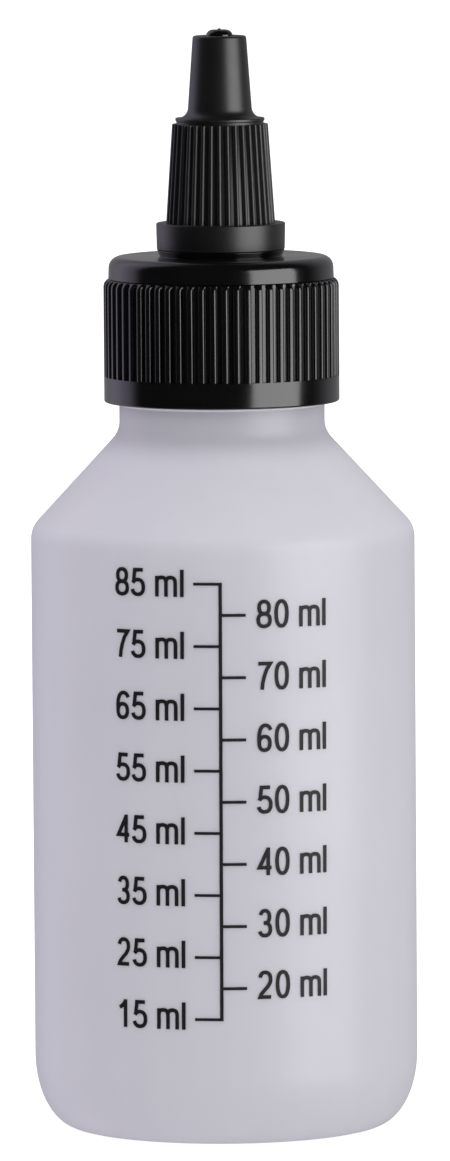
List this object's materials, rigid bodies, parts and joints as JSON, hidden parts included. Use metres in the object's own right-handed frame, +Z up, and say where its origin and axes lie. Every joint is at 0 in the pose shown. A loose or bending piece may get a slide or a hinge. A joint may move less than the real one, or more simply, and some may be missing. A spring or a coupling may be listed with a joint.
{
  "type": "applicator bottle",
  "caption": "Round graduated squeeze bottle with a ribbed screw cap and a twist-open pointed nozzle that a central pin seals.",
  "frame": {"origin": "centre of the bottle's foot, on the surface it stands on", "axes": "+Z up along the bottle's axis, towards the nozzle's tip; the printed scale faces -Y"},
  "size_m": [0.0446, 0.0447, 0.1276],
  "materials": {
    "milky_plastic": "natural milky polyethylene, satin, lets light through",
    "white_foam": "matt white foamed polyethylene",
    "gloss_black": "polished black polypropylene",
    "satin_black": "satin black polypropylene",
    "black_ink": "black screen-printed ink"
  },
  "bodies": {
    "bottle_body": {"bottle": "milky_plastic", "scale_ladder": "black_ink"},
    "liner_body": {"cap_liner": "white_foam"},
    "cap_body": {"screw_cap": "gloss_black"},
    "nozzle_body": {"twist_nozzle": "satin_black"}
  },
  "joints": [
    {"name": "cap_rise", "type": "slide", "parent": "bottle_body", "child": "liner_body", "axis": [0, 0, 1], "range_m": [0, 0.00476]},
    {"name": "cap_turn", "type": "hinge", "parent": "liner_body", "child": "cap_body", "pos_m": [0, 0, 0.0987], "axis": [0, 0, 1], "range_deg": [0, 540]},
    {"name": "nozzle_rise", "type": "slide", "parent": "cap_body", "child": "nozzle_body", "axis": [0, 0, 1], "range_m": [0, 0.003]}
  ],
  "couplings": [
    {"joint": "cap_rise", "follows": "cap_turn", "m_per_rad": 0.00050532}
  ]
}
